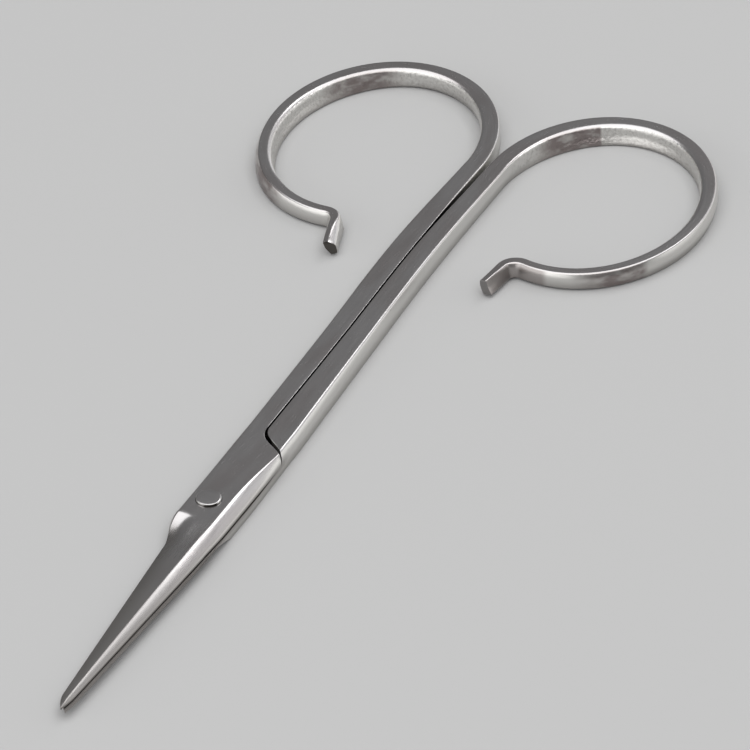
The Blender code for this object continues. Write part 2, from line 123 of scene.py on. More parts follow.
class Half:
    """The sizes in which the two halves differ, in the upper half's own position."""

    def __init__(self, node, body, turned, joint, shank, feet, plunge_y, tip_share, hook):
        self.node = node
        self.body = body
        self.turned = turned
        self.near, self.far = joint
        self.shank = shank
        self.inner_feet, self.outer_feet = feet
        self.plunge_y = plunge_y
        self.tip_share = tip_share
        self.hook = hook
        self.parting = [-x for x in PARTING_X] if turned else PARTING_X

    def place(self, x, y, z):
        """A point of this half: the lower half is turned over about the long axis."""
        if self.turned:
            x, z = -x, BAR_THICKNESS - z
        return Vector((x - RIVET_X, y - RIVET_Y, z))

    def unplace(self, point):
        x, y, z = point.x + RIVET_X, point.y + RIVET_Y, point.z
        return (-x, y, BAR_THICKNESS - z) if self.turned else (x, y, z)


JOINT_LEFT = 2.05 * MM
UPPER_JOINT_RIGHT = 3.82 * MM
LOWER_JOINT_RIGHT = 3.97 * MM
upper = Half(
    "upper_half",
    "upper",
    False,
    joint=(JOINT_LEFT, UPPER_JOINT_RIGHT),
    shank=UPPER_SHANK,
    feet=(UPPER_INNER_FEET, UPPER_OUTER_FEET),
    plunge_y=-3.3 * MM,
    tip_share=0.72,
    hook=Hook(
        sweep=274.5,
        bend=76,
        twist=-20,
        length=4.3 * MM,
        width=1.22 * MM,
        crown=0.88 * MM,
        foot=-0.35 * MM,
    ),
)
lower = Half(
    "lower_half",
    "lower",
    True,
    joint=(LOWER_JOINT_RIGHT, JOINT_LEFT),
    shank=LOWER_SHANK,
    feet=(LOWER_INNER_FEET, LOWER_OUTER_FEET),
    plunge_y=-2.6 * MM,
    tip_share=0.12,
    hook=Hook(
        sweep=278.2,
        bend=92.5,
        twist=-15,
        length=3.6 * MM,
        width=0.95 * MM,
        crown=0.14 * MM,
        foot=0.25 * MM,
    ),
)


def mix(a, b, share):
    return a + (b - a) * share


def clamped(share):
    return min(max(share, 0), 1)


def ease(share):
    """A smooth step from 0 to 1."""
    share = clamped(share)
    return share * share * (3 - 2 * share)


def quarter_turn(steps):
    """Sine and cosine at even steps round a quarter of a circle."""
    angles = [math.pi / 2 * i / steps for i in range(steps + 1)]
    return [(math.sin(angle), math.cos(angle)) for angle in angles]


def through(places, values, place):
    """A smooth curve through the values at rising places (cubic, slopes from the neighbours)."""
    slopes = []
    last = len(places) - 1
    for i in range(len(places)):
        before, after = max(i - 1, 0), min(i + 1, last)
        slopes.append((values[after] - values[before]) / (places[after] - places[before]))
    if place <= places[0]:
        return values[0]
    if place >= places[last]:
        return values[last]
    i = max(k for k in range(last) if places[k] <= place)
    span = places[i + 1] - places[i]
    t = (place - places[i]) / span
    rise = (values[i + 1] - values[i]) * ease(t)
    return values[i] + rise + span * t * (1 - t) * (slopes[i] * (1 - t) - slopes[i + 1] * t)


SHANK_PLACES = (SHOULDER_FOOT_Y, SHANK_MID_Y, SHANK_NECK_Y, RING_CENTRE_Y)
SHANK_CROWNS = (SHANK_CROWN, mix(SHANK_CROWN, NECK_CROWN, 0.5), NECK_CROWN, RING_INNER_CROWN)


def nearing_ring(y):
    """0 up to the shank's neck, 1 where the ring starts."""
    return ease((y - SHANK_NECK_Y) / (RING_CENTRE_Y - SHANK_NECK_Y))


def shank_inner_x(half, y):
    """The shank's flat side, along the parting line."""
    return through(SHANK_PLACES, half.parting, y) - mix(SHANK_GAP, PARTING_GAP, nearing_ring(y)) / 2


def outer_wall_x(half, y):
    """The bar's outer side at mid thickness, along joint and shank."""
    if y < SHOULDER_FOOT_Y:
        return -mix(half.near, half.shank[0], ease(y / SHOULDER_FOOT_Y))
    root = PARTING_GAP / 2 + RING_WIDTHS[0]
    return -through(SHANK_PLACES, (*half.shank, root), y)


def shank_path(half, start_y):
    """Stations of the straight part, from inside the joint to the start of the ring."""
    stations = []
    count = round((RING_CENTRE_Y - start_y) / SHANK_STEP)
    for i in range(count):
        y = mix(start_y, RING_CENTRE_Y, i / count)
        inner, outer = shank_inner_x(half, y), outer_wall_x(half, y)
        nearing = nearing_ring(y)
        stations.append(
            {
                "middle": Vector(((inner + outer) / 2, y, BAR_THICKNESS / 2)),
                "left_way": Vector((-1, 0, 0)),
                "width": inner - outer,
                "thickness": BAR_THICKNESS,
                "left_crown": through(SHANK_PLACES, SHANK_CROWNS, y),
                "right_crown": RING_INNER_CROWN * nearing,
                "left_easing": 1,
                "right_easing": mix(PARTING_EASING, 1, nearing),
                "left_foot": half.inner_feet[0] * nearing,
                "right_foot": 0,
                "twist": 0,
            }
        )
    return stations


def ring_station(half, x, y, heading, quarter, share):
    """One station of the ring, or of the hook as far as its share says."""
    hook = half.hook
    quarters = (0, 1, 2, hook.quarters)
    half_quarters = (0, 1 / 2, 1, 3 / 2, 2, hook.quarters)
    out = ease(share)
    thin = ease((quarter - 2) / (hook.quarters - 2))
    return {
        "middle": Vector((x, y, BAR_THICKNESS / 2)),
        "left_way": Vector((-math.sin(heading), math.cos(heading), 0)),
        "width": mix(through(quarters, RING_WIDTHS, quarter), hook.width, out),
        "thickness": mix(BAR_THICKNESS, HOOK_THICKNESS, thin),
        "left_crown": mix(RING_INNER_CROWN, hook.crown, out),
        "right_crown": mix(through(quarters, RING_OUTER_CROWNS, quarter), 0, out),
        "left_easing": mix(through(half_quarters, RING_EASING, quarter), 1, out),
        "right_easing": 1,
        "left_foot": mix(through(half_quarters, half.inner_feet, quarter), -RING_INNER_CROWN, out),
        "right_foot": mix(through(quarters, half.outer_feet, quarter), hook.foot, out),
        "twist": hook.twist * out,
    }


def ring_path(half):
    """Stations round the oval, round the hook's bend and along the hook to its rounded end."""
    stations = []
    hook = half.hook
    for i in range(RING_STEPS + 1):
        angle = hook.sweep * i / RING_STEPS
        x = RING_CENTRE_X + RING_HALF_WIDTH * math.cos(angle)
        y = RING_CENTRE_Y + RING_HALF_LENGTH * math.sin(angle)
        heading = math.atan2(RING_HALF_LENGTH * math.cos(angle), -RING_HALF_WIDTH * math.sin(angle))
        quarter = angle / (math.pi / 2)
        stations.append(ring_station(half, x, y, heading, quarter, 0))
    centre_x = x + HOOK_BEND_RADIUS * math.sin(heading)
    centre_y = y - HOOK_BEND_RADIUS * math.cos(heading)
    arc_length = HOOK_BEND_RADIUS * hook.bend
    whole = arc_length + hook.length
    for i in range(1, HOOK_BEND_STEPS + 1):
        share = i / HOOK_BEND_STEPS
        way = heading - hook.bend * share
        x = centre_x - HOOK_BEND_RADIUS * math.sin(way)
        y = centre_y + HOOK_BEND_RADIUS * math.cos(way)
        stations.append(ring_station(half, x, y, way, quarter, arc_length * share / whole))
    runs = []
    for i in range(1, HOOK_STRAIGHT_STEPS + 1):
        runs.append(((hook.length - HOOK_END_ROUND) * i / HOOK_STRAIGHT_STEPS, 0))
    for sine, cosine in quarter_turn(HOOK_END_STEPS)[1:]:
        runs.append((hook.length - HOOK_END_ROUND * (1 - sine), HOOK_END_ROUND * (1 - cosine)))
    for run, drawn_in in runs:
        end_x, end_y = x + run * math.cos(way), y + run * math.sin(way)
        station = ring_station(half, end_x, end_y, way, quarter, (arc_length + run) / whole)
        station["width"] -= 2 * drawn_in
        station["thickness"] -= 2 * drawn_in
        stations.append(station)
    return stations


def feed(tree, socket, value):
    """Give a node's input a plain value or another node's output."""
    if isinstance(value, bpy.types.NodeSocket):
        tree.links.new(value, socket)
    else:
        socket.default_value = value


def outputs(tree, kind, inputs, **settings):
    """Add a node, feed its inputs by name or number, and give its outputs."""
    node = tree.nodes.new(kind)
    for name, value in settings.items():
        setattr(node, name, value)
    for socket, value in inputs.items():
        feed(tree, node.inputs[socket], value)
    return node.outputs


def maths(tree, operation, *values):
    return outputs(tree, "ShaderNodeMath", dict(enumerate(values)), operation=operation)[0]


def vector_maths(tree, operation, *values):
    return outputs(tree, "ShaderNodeVectorMath", dict(enumerate(values)), operation=operation)


def product(tree, *values):
    total = values[0]
    for value in values[1:]:
        total = maths(tree, "MULTIPLY", total, value)
    return total


def combined(tree, *parts):
    return outputs(tree, "ShaderNodeCombineXYZ", dict(enumerate(parts)))[0]


def split(tree, vector):
    return outputs(tree, "ShaderNodeSeparateXYZ", {0: vector})


def blended(tree, a, b, share):
    """a at share 0, b at share 1."""
    return maths(tree, "MULTIPLY_ADD", maths(tree, "SUBTRACT", b, a), share, a)


def add_socket(tree, name, kind, way="INPUT", default=None):
    socket = tree.interface.new_socket(name=name, in_out=way, socket_type="NodeSocket" + kind)
    if default is not None:
        socket.default_value = default
    return socket


def captured(tree, geometry, **vectors):
    """Keep vectors on a curve's points while it is swept: gives the curve and the vectors."""
    node = tree.nodes.new("GeometryNodeCaptureAttribute")
    for name in vectors:
        node.capture_items.new("VECTOR", name)
    for socket, value in zip(node.inputs, (geometry, *vectors.values())):
        feed(tree, socket, value)
    return node.outputs[: len(vectors) + 1]


def section_points(tree, given):
    """The bar's section as a closed curve: on each point its corner, -1 to 1, and its own way out."""
    corner_points, wall_points = given["Corner Points"], given["Wall Points"]
    per_side = maths(tree, "ADD", corner_points, wall_points)
    circle = outputs(tree, "GeometryNodeCurvePrimitiveCircle", {"Resolution": product(tree, per_side, 4)})
    index = outputs(tree, "GeometryNodeInputIndex", {})[0]
    side = maths(tree, "FLOOR", maths(tree, "DIVIDE", maths(tree, "ADD", index, 0.5), per_side))
    step = maths(tree, "SUBTRACT", index, product(tree, side, per_side))
    last = maths(tree, "SUBTRACT", corner_points, 1)
    turned = maths(tree, "MINIMUM", maths(tree, "DIVIDE", step, last), 1)
    angle = product(tree, maths(tree, "ADD", side, turned), math.pi / 2)
    past = maths(tree, "MAXIMUM", maths(tree, "SUBTRACT", step, last), 0)
    share = maths(tree, "DIVIDE", past, maths(tree, "ADD", wall_points, 1))
    corner = []
    way = []
    for function in ("COSINE", "SINE"):
        ends = []
        for ahead in (0.5, 1.5):
            place = product(tree, maths(tree, "ADD", side, ahead), math.pi / 2)
            ends.append(product(tree, maths(tree, function, place), math.sqrt(2)))
        corner.append(blended(tree, *ends, share))
        way.append(maths(tree, function, angle))
    return captured(tree, circle[0], Corner=combined(tree, *corner), Way=combined(tree, *way))


def named_value(tree, name, kind="FLOAT"):
    return outputs(tree, "GeometryNodeInputNamedAttribute", {"Name": name}, data_type=kind)["Attribute"]


def place_on_path(tree, given, middle, corner, way):
    """Where a section's point lies: rounded corners, crowned upper wall, spread foot, twist."""
    corner_u, corner_v, _ = split(tree, corner)
    way_u, way_v, _ = split(tree, way)
    leftness = maths(tree, "MULTIPLY_ADD", corner_u, 0.5, 0.5)
    radii = []
    for side in ("Right", "Left"):
        easing = named_value(tree, side.lower() + "_easing")
        radii.append(product(tree, given[side + " Edge Radius"], easing))
    radius = blended(tree, *radii, leftness)
    reach = []
    for size, corner_part, way_part in (("width", corner_u, way_u), ("thickness", corner_v, way_v)):
        straight = maths(tree, "SUBTRACT", product(tree, named_value(tree, size), 0.5), radius)
        reach.append(maths(tree, "MULTIPLY_ADD", straight, corner_part, product(tree, radius, way_part)))
    across, height = reach
    rise = maths(tree, "DIVIDE", height, product(tree, named_value(tree, "thickness"), 0.5))
    crown = blended(tree, named_value(tree, "right_crown"), named_value(tree, "left_crown"), leftness)
    foot = blended(tree, named_value(tree, "right_foot"), named_value(tree, "left_foot"), leftness)
    raised = maths(tree, "MAXIMUM", rise, 0)
    crowned = product(tree, crown, product(tree, raised, raised))
    inset = maths(tree, "ADD", crowned, product(tree, foot, maths(tree, "MINIMUM", rise, 0)))
    across = maths(tree, "SUBTRACT", across, product(tree, corner_u, inset))
    height = product(tree, height, given["Up Sign"])
    twist = named_value(tree, "twist")
    sine, cosine = maths(tree, "SINE", twist), maths(tree, "COSINE", twist)
    level = maths(tree, "MULTIPLY_ADD", across, cosine, product(tree, height, sine))
    up = maths(tree, "SUBTRACT", product(tree, height, cosine), product(tree, across, sine))
    left_way = named_value(tree, "left_way", "FLOAT_VECTOR")
    sideways = outputs(tree, "ShaderNodeVectorMath", {0: left_way, "Scale": level}, operation="SCALE")
    beside = vector_maths(tree, "ADD", middle, sideways[0])
    return vector_maths(tree, "ADD", beside[0], combined(tree, 0, 0, up))[0]


def swept_bar_tree():
    """Geometry nodes: sweep the bar's section along a path whose points carry the bar's sizes."""
    tree = bpy.data.node_groups.new("swept_bar", "GeometryNodeTree")
    add_socket(tree, "Path", "Geometry")
    add_socket(tree, "Left Edge Radius", "Float", default=INNER_EDGE_RADIUS)
    add_socket(tree, "Right Edge Radius", "Float", default=OUTER_EDGE_RADIUS)
    add_socket(tree, "Corner Points", "Int", default=CORNER_POINTS)
    add_socket(tree, "Wall Points", "Int", default=WALL_POINTS)
    add_socket(tree, "Up Sign", "Float", default=1.0)
    add_socket(tree, "Steel", "Material")
    add_socket(tree, "Bar", "Geometry", "OUTPUT")
    given = tree.nodes.new("NodeGroupInput").outputs
    curve = outputs(tree, "GeometryNodeMeshToCurve", {0: given["Path"]})[0]
    position = outputs(tree, "GeometryNodeInputPosition", {})[0]
    path, middle = captured(tree, curve, Middle=position)
    section, corner, way = section_points(tree, given)
    swept = {"Curve": path, "Profile Curve": section, "Fill Caps": True}
    bar = outputs(tree, "GeometryNodeCurveToMesh", swept)[0]
    place = place_on_path(tree, given, middle, corner, way)
    bar = outputs(tree, "GeometryNodeSetPosition", {"Geometry": bar, "Position": place})[0]
    bar = outputs(tree, "GeometryNodeRealizeInstances", {0: bar})[0]
    bar = outputs(tree, "GeometryNodeSetMaterial", {"Geometry": bar, "Material": given["Steel"]})[0]
    feed(tree, tree.nodes.new("NodeGroupOutput").inputs[0], bar)
    return tree


def set_input(modifier, name, value):
    for item in modifier.node_group.interface.items_tree:
        if item.name == name and item.in_out == "INPUT":
            modifier[item.identifier] = value


def settle(piece):
    """Make what the modifiers show the piece's own mesh."""
    view = bpy.context.evaluated_depsgraph_get()
    piece.data = bpy.data.meshes.new_from_object(piece.evaluated_get(view))
    piece.modifiers.clear()


def new_piece(name, mesh):
    piece = bpy.data.objects.new(name, mesh)
    bpy.context.scene.collection.objects.link(piece)
    return piece


def outward(mesh, build=None):
    """Rebuild or keep a mesh, with all its faces turned outwards."""
    bm = bmesh.new()
    if build:
        build(bm)
    else:
        bm.from_mesh(mesh)
    bmesh.ops.recalc_face_normals(bm, faces=bm.faces)
    bm.to_mesh(mesh)
    bm.free()
    return mesh


def keep(mesh, name, values):
    """Store a number or a vector on each of the mesh's points."""
    if isinstance(values[0], Vector):
        attribute = mesh.attributes.new(name, "FLOAT_VECTOR", "POINT")
        attribute.data.foreach_set("vector", [part for value in values for part in value])
    else:
        attribute = mesh.attributes.new(name, "FLOAT", "POINT")
        attribute.data.foreach_set("value", values)


def make_bar(half, stations, tree, material):
    """Sweep one half's bar and put it where the half lies."""
    mesh = bpy.data.meshes.new(half.node + "_path")
    points = [station["middle"] for station in stations]
    mesh.from_pydata(points, [(i, i + 1) for i in range(len(points) - 1)], [])
    for name in stations[0]:
        if name != "middle":
            keep(mesh, name, [station[name] for station in stations])
    bar = new_piece(half.node + "_visual", mesh)
    sweep = bar.modifiers.new("sweep", "NODES")
    sweep.node_group = tree
    set_input(sweep, "Left Edge Radius", INNER_EDGE_RADIUS)
    set_input(sweep, "Right Edge Radius", OUTER_EDGE_RADIUS)
    set_input(sweep, "Up Sign", -1.0 if half.turned else 1.0)
    set_input(sweep, "Steel", material)
    settle(bar)
    for vertex in bar.data.vertices:
        x, y, z = vertex.co
        for face in (0, BAR_THICKNESS):
            if abs(z - face) < SNAP:
                z = face
        vertex.co = half.place(x, y, z)
    outward(bar.data)
    return bar


# The two halves: joint plates and blades
# The joint end of each bar is milled to half its thickness and fits over the other's. Below the
# joint it is hollow-ground into a blade: a flat top, a sloping facet to the spine, a fine edge.

EDGE_BEVEL = 0.12 * MM
LAP_Z = BAR_THICKNESS / 2 + LAP_GAP / 2
SHOULDER_CORNER_DROP = 1.9 * MM
SHOULDER_SLOPE_SHARE = 0.62
SHOULDER_FOOT_HANDLE_SHARE = 0.62
SHOULDER_SIDE_HANDLE_SHARE = 0.48
SHOULDER_GAP = 0.13 * MM
SHOULDER_RELIEF = 0.62 * MM
SHOULDER_STEPS = 44
STEP_FILLET = 0.65 * MM
FILLET_STEPS = 10
LIP_STEPS = 4

FACET_START_Y = 8.9 * MM
FACET_FULL_Y = 0.5 * MM
HOLLOW_LENGTH = 3.8 * MM
BLADE_ROOT_Y = -8.2 * MM
TIP_Y = -34.9 * MM
TIP_ROUND_LENGTH = 2.4 * MM
TIP_POWER = 2.2
UPPER_EDGE_X = (-0.73 * MM, 1.45 * MM)
UPPER_SPINE_X = (3.65 * MM, 2.45 * MM)
LOWER_EDGE_PROUD = 0.40 * MM
UPPER_EDGE_PROUD = 0.13 * MM
FACET_WIDTH = 1.38 * MM
FACET_TIP_SHARE = 0.36
FACET_POINTS = 14
FACET_CROWN_POWER = 1.5
RIDGE_SOFTNESS = 0.20 * MM
HOLLOW_POINTS = 16
SCOOP_START_SHARE = 0.20
SCOOP_END_SHARE = 0.58
TIP_THICKNESS = 0.42 * MM
TIP_RISE_SHARE = 0.5
CUTTING_EDGE_LAND = 0.06 * MM
SPINE_LAND = 0.14 * MM
SEAT_INSET = 0.003 * MM
JOINT_STATIONS = 34
PLUNGE_STATIONS = 30
BLADE_STATIONS = 60
TIP_STATIONS = 10

upper.edge, upper.spine = UPPER_EDGE_X, UPPER_SPINE_X
lower.edge = [-x - LOWER_EDGE_PROUD for x in UPPER_SPINE_X]
lower.spine = [-x - UPPER_EDGE_PROUD for x in UPPER_EDGE_X]


def loft(bm, sections):
    """Join equal closed sections one after another and cap both ends."""
    rings = [[bm.verts.new(point) for point in section] for section in sections]
    count = len(rings[0])
    for first, second in zip(rings, rings[1:]):
        for i in range(count):
            j = (i + 1) % count
            bm.faces.new((first[i], first[j], second[j], second[i]))
    bm.faces.new(rings[0])
    bm.faces.new(rings[-1])


def bezier(points, t):
    s = 1 - t
    weights = (s ** 3, 3 * s * s * t, 3 * s * t * t, t ** 3)
    return [sum(weight * point[axis] for weight, point in zip(weights, points)) for axis in (0, 1)]


def shoulder_side_y(reach):
    """Where a joint plate's shoulder meets the plate's side wall."""
    return SHOULDER_FOOT_Y - SHOULDER_CORNER_DROP - SHOULDER_SLOPE_SHARE * reach


def shoulder_curve(start_x, reach, gap, relief):
    """Plan line of a shoulder: a rounded corner at the parting line, then an ogee to the side."""
    side_y = shoulder_side_y(reach)
    drop = SHOULDER_FOOT_Y - side_y
    middle_x = mix(start_x, reach, 0.5)
    points = (
        (start_x, SHOULDER_FOOT_Y),
        (start_x, SHOULDER_FOOT_Y - SHOULDER_FOOT_HANDLE_SHARE * drop + relief),
        (middle_x, side_y + SHOULDER_SIDE_HANDLE_SHARE * drop + gap + relief / 2),
        (reach, side_y + gap),
    )
    line = [bezier(points, i / SHOULDER_STEPS) for i in range(SHOULDER_STEPS + 1)]
    slope = (line[-1][1] - line[-2][1]) / (line[-1][0] - line[-2][0])
    line.append((reach + CUT_OVERRUN, line[-1][1] + slope * CUT_OVERRUN))
    return line


def shoulder_block(half, line, radius, upward):
    """The space on one side of the lap: below the shoulder line, its inner edge rounded."""
    sign = 1 if upward else -1
    face = BAR_THICKNESS if upward else 0
    far_y = TIP_Y - CUT_OVERRUN
    sections = []
    for x, y in line:
        profile = [(far_y, face + sign * CUT_OVERRUN), (y - sign * EDGE_BEVEL, face + sign * CUT_OVERRUN)]
        for sine, cosine in quarter_turn(LIP_STEPS):
            profile.append((y - sign * EDGE_BEVEL * (1 - sine), face - sign * EDGE_BEVEL * (1 - cosine)))
        for sine, cosine in quarter_turn(FILLET_STEPS):
            profile.append((y - radius * (1 - cosine), LAP_Z + sign * radius * (1 - sine)))
        profile.append((far_y, LAP_Z))
        sections.append([half.place(x, py, pz) for py, pz in profile])
    mesh = bpy.data.meshes.new("shoulder_block")
    return new_piece("shoulder_block", outward(mesh, lambda bm: loft(bm, sections)))


def plate_block(half):
    """Everything that may be joint plate: above the lap face, this side of the shoulder."""
    line = [(-half.near - CUT_OVERRUN, SHOULDER_FOOT_Y)]
    line += shoulder_curve(shank_inner_x(half, SHOULDER_FOOT_Y), half.far, 0, 0)
    return shoulder_block(half, line, STEP_FILLET - SHOULDER_GAP, upward=True)


def step_block(half):
    """What the other half's plate takes out of this half's bar, under the lap face."""
    inner = shank_inner_x(half, SHOULDER_FOOT_Y)
    line = [(-x, y) for x, y in shoulder_curve(-inner, half.near, SHOULDER_GAP, SHOULDER_RELIEF)]
    line.insert(0, (inner + CUT_OVERRUN, SHOULDER_FOOT_Y))
    return shoulder_block(half, line, STEP_FILLET, upward=False)


def facet_width(half, y, near_x, far_x):
    """Width of the sloping facet along the spine, from the shoulder to the tip."""
    if y >= BLADE_ROOT_Y:
        grown = (FACET_START_Y - y) / (FACET_START_Y - FACET_FULL_Y)
        swell = math.sin(math.pi / 2 * clamped(grown))
        return mix(SHANK_CROWN + EDGE_BEVEL, FACET_WIDTH, swell)
    root_share = FACET_WIDTH / (half.spine[0] - half.edge[0])
    along = (BLADE_ROOT_Y - y) / (BLADE_ROOT_Y - TIP_Y)
    return (far_x - near_x) * mix(root_share, FACET_TIP_SHARE, along)


def near_wall(half):
    """The plate's near side above the lap: (share of its height, distance in from the wall)."""
    half_thickness = BAR_THICKNESS / 2
    radius = INNER_EDGE_RADIUS
    points = []
    straight = half_thickness - radius
    for i in range(WALL_POINTS):
        points.append((mix(LAP_GAP / 2, straight, i / WALL_POINTS), 0))
    for sine, cosine in quarter_turn(CORNER_POINTS - 1):
        points.append((straight + radius * sine, radius * (1 - cosine)))
    sign = -1 if half.turned else 1
    wall = []
    for height, inset in points:
        rise = max(sign * height / half_thickness, 0)
        share = (height - LAP_GAP / 2) / (half_thickness - LAP_GAP / 2)
        wall.append((share, inset + SHANK_CROWN * rise * rise))
    return wall


def plate_section(half, y, taper, wall_points):
    """Joint plate and blade across: near side or cutting edge, top, spine facet, lap face."""
    plunge = clamped((half.plunge_y - y) / (half.plunge_y - BLADE_ROOT_Y))
    sunk = math.sin(math.pi / 2 * clamped((half.plunge_y - y) / HOLLOW_LENGTH))
    along = max((BLADE_ROOT_Y - y) / (BLADE_ROOT_Y - TIP_Y), 0)
    near_x = mix(outer_wall_x(half, y), mix(*half.edge, along), ease(plunge)) + SEAT_INSET
    far_x = mix(half.far, mix(*half.spine, along), ease(plunge))
    point_x = mix(near_x, far_x, half.tip_share)
    near_x, far_x = mix(point_x, near_x, taper), mix(point_x, far_x, taper)
    thinned = max((half.plunge_y - y) / (half.plunge_y - TIP_Y), 0)
    rise = mix(BAR_THICKNESS - LAP_Z, TIP_THICKNESS, thinned) * mix(TIP_RISE_SHARE, 1, taper)
    wall = mix(rise, CUTTING_EDGE_LAND, sunk)
    points = []
    for share, inset in wall_points:
        points.append((near_x + inset * (1 - sunk), LAP_Z + wall * share))
    facet = facet_width(half, y, near_x, far_x)
    start_x, start_up = points[-1]
    for i in range(1, HOLLOW_POINTS):
        share = i / HOLLOW_POINTS
        scooped = ease((SCOOP_END_SHARE - share) / (SCOOP_END_SHARE - SCOOP_START_SHARE))
        up = mix(LAP_Z + rise, start_up, mix(scooped, 1 - share, ease(plunge)))
        points.append((mix(start_x, far_x - facet, share), up))
    soft = RIDGE_SOFTNESS / facet
    for i in range(FACET_POINTS + 1):
        out = ease(i / FACET_POINTS)
        down = (math.hypot(out, soft) - soft) / (math.hypot(1, soft) - soft)
        share = (1 - down) ** (1 / FACET_CROWN_POWER)
        points.append((far_x - facet * (1 - out), LAP_Z + mix(SPINE_LAND, rise, share)))
    points.append((far_x, LAP_Z))
    return [half.place(x, y, z) for x, z in points]


def plate_stations(half):
    """Places along plate and blade, closer together in the plunge and at the tip."""
    round_y = TIP_Y + TIP_ROUND_LENGTH
    lengths = (
        (SHOULDER_FOOT_Y, half.plunge_y, JOINT_STATIONS),
        (half.plunge_y, BLADE_ROOT_Y, PLUNGE_STATIONS),
        (BLADE_ROOT_Y, round_y, BLADE_STATIONS),
    )
    stations = []
    for start_y, end_y, count in lengths:
        for i in range(count):
            stations.append((mix(start_y, end_y, i / count), 1))
    for share, _ in quarter_turn(TIP_STATIONS)[:-1]:
        stations.append((round_y - TIP_ROUND_LENGTH * share, 1 - share ** TIP_POWER))
    return stations


def make_plate(half):
    wall = near_wall(half)
    sections = [plate_section(half, y, taper, wall) for y, taper in plate_stations(half)]
    mesh = bpy.data.meshes.new("plate")
    return new_piece("plate", outward(mesh, lambda bm: loft(bm, sections)))


def boolean(body, operation, tool):
    """Cut or join at once, and put the tool away."""
    modifier = body.modifiers.new(operation.lower(), "BOOLEAN")
    modifier.operation = operation
    modifier.solver = "EXACT"
    modifier.object = tool
    settle(body)
    bpy.data.objects.remove(tool)


# The two halves: drilling and joining
# Bar and plate are one forging, so they are joined here without a seam. The hole for the rivet is
# drilled through both halves and countersunk on their outer faces.

RIVET_SHANK_RADIUS = 0.85 * MM
RIVET_HEAD_RADIUS = 1.28 * MM
RIVET_HEAD_DEPTH = 0.55 * MM
RIVET_GAP = 0.06 * MM
RIVET_FLOOR_GAP = 0.05 * MM
CIRCLE_SIDES = 96
WELD_DISTANCE = 0.004 * MM
SLIVER_DISTANCE = 0.001 * MM
SHARP_DEGREES = 32
NORMAL_WEIGHT = 80


def turned_body(name, profile):
    """A solid of revolution about the rivet's axis, from (radius, height) points on the outside."""
    rings = []
    for radius, height in profile:
        ring = []
        for i in range(CIRCLE_SIDES):
            angle = 2 * math.pi * i / CIRCLE_SIDES
            ring.append(Vector((radius * math.cos(angle), radius * math.sin(angle), height)))
        rings.append(ring)
    return new_piece(name, outward(bpy.data.meshes.new(name), lambda bm: loft(bm, rings)))


def rivet_sides(gap):
    """Shank and countersunk heads of the rivet, or of its hole, as points from below to above."""
    head, shank = RIVET_HEAD_RADIUS + gap, RIVET_SHANK_RADIUS + gap
    return [
        (head, RIVET_FLOOR_GAP),
        (shank, RIVET_HEAD_DEPTH),
        (shank, BAR_THICKNESS - RIVET_HEAD_DEPTH),
        (head, BAR_THICKNESS - RIVET_FLOOR_GAP),
    ]


def rivet_hole():
    head = RIVET_HEAD_RADIUS + RIVET_GAP
    ends = (head, -CUT_OVERRUN), (head, BAR_THICKNESS + CUT_OVERRUN)
    return turned_body("rivet_hole", [ends[0], *rivet_sides(RIVET_GAP), ends[1]])


def smooth(mesh):
    """Weld the joined faces and shade all but the sharp edges smooth."""
    bm = bmesh.new()
    bm.from_mesh(mesh)
    bmesh.ops.remove_doubles(bm, verts=bm.verts, dist=WELD_DISTANCE)
    bmesh.ops.dissolve_degenerate(bm, edges=bm.edges, dist=SLIVER_DISTANCE)
    bm.to_mesh(mesh)
    bm.free()
    mesh.shade_smooth()
    mesh.set_sharp_from_angle(angle=math.radians(SHARP_DEGREES))


def level_normals(piece):
    """Let large faces lead the shading, so that ground flats look flat."""
    weighting = piece.modifiers.new("weighting", "WEIGHTED_NORMAL")
    weighting.keep_sharp = True
    weighting.weight = NORMAL_WEIGHT
    settle(piece)


def bar_start_y(half):
    return shoulder_side_y(half.near) - STEP_FILLET - 2 * EDGE_BEVEL


def bar_path(half):
    """All stations of a half's bar, from inside the joint to the hook's end."""
    return shank_path(half, bar_start_y(half)) + ring_path(half)


def make_half(half, tree, material):
    """Sweep the bar, mill its step, join plate and blade to it, drill it."""
    stations = bar_path(half)
    body = make_bar(half, stations, tree, material)
    boolean(body, "DIFFERENCE", step_block(half))
    plate = make_plate(half)
    boolean(plate, "INTERSECT", plate_block(half))
    boolean(body, "UNION", plate)
    boolean(body, "DIFFERENCE", rivet_hole())
    body.data.materials.clear()
    body.data.materials.append(material)
    smooth(body.data)
    level_normals(body)
    note_places(body, half, stations)
    return body


# The two halves: finish
# Plain carbon steel, ground along the bar, lightly polished by hand and long in use. The insides
# of the rings keep the marks of the file; fine scratches and a few pits lie everywhere.

STEEL = (0.565, 0.552, 0.556, 1)
STEEL_WARM = (0.52, 0.495, 0.495, 1)
WALL_STEEL = (0.66, 0.648, 0.625, 1)
BLADE_STEEL = (0.37, 0.357, 0.35, 1)
FILED_BRIGHT = (0.74, 0.73, 0.705, 1)
FILED_DULL = (0.51, 0.495, 0.475, 1)
# Painted shade at the walls' feet and along the lap seam at the joint
SEAM_AND_FOOT_SHADE = (0.30, 0.285, 0.27, 1)
# Painted shade in the parting gap between the shanks and in the rivet's hole
GAP_AND_HOLE_SHADE = (0.06, 0.055, 0.05, 1)
# Painted dark reflection: on stretches of the ring walls and on the lower hook's walls
PAINTED_DARK_REFLECTION = (0.27, 0.235, 0.228, 1)
LOWER_CUT_STEEL = (0.26, 0.25, 0.245, 1)
# Painted shade: the upper hook's cut end, where little light reaches
UPPER_CUT_SHADE = (0.10, 0.092, 0.085, 1)
PIT_COLOUR = (0.13, 0.11, 0.10, 1)
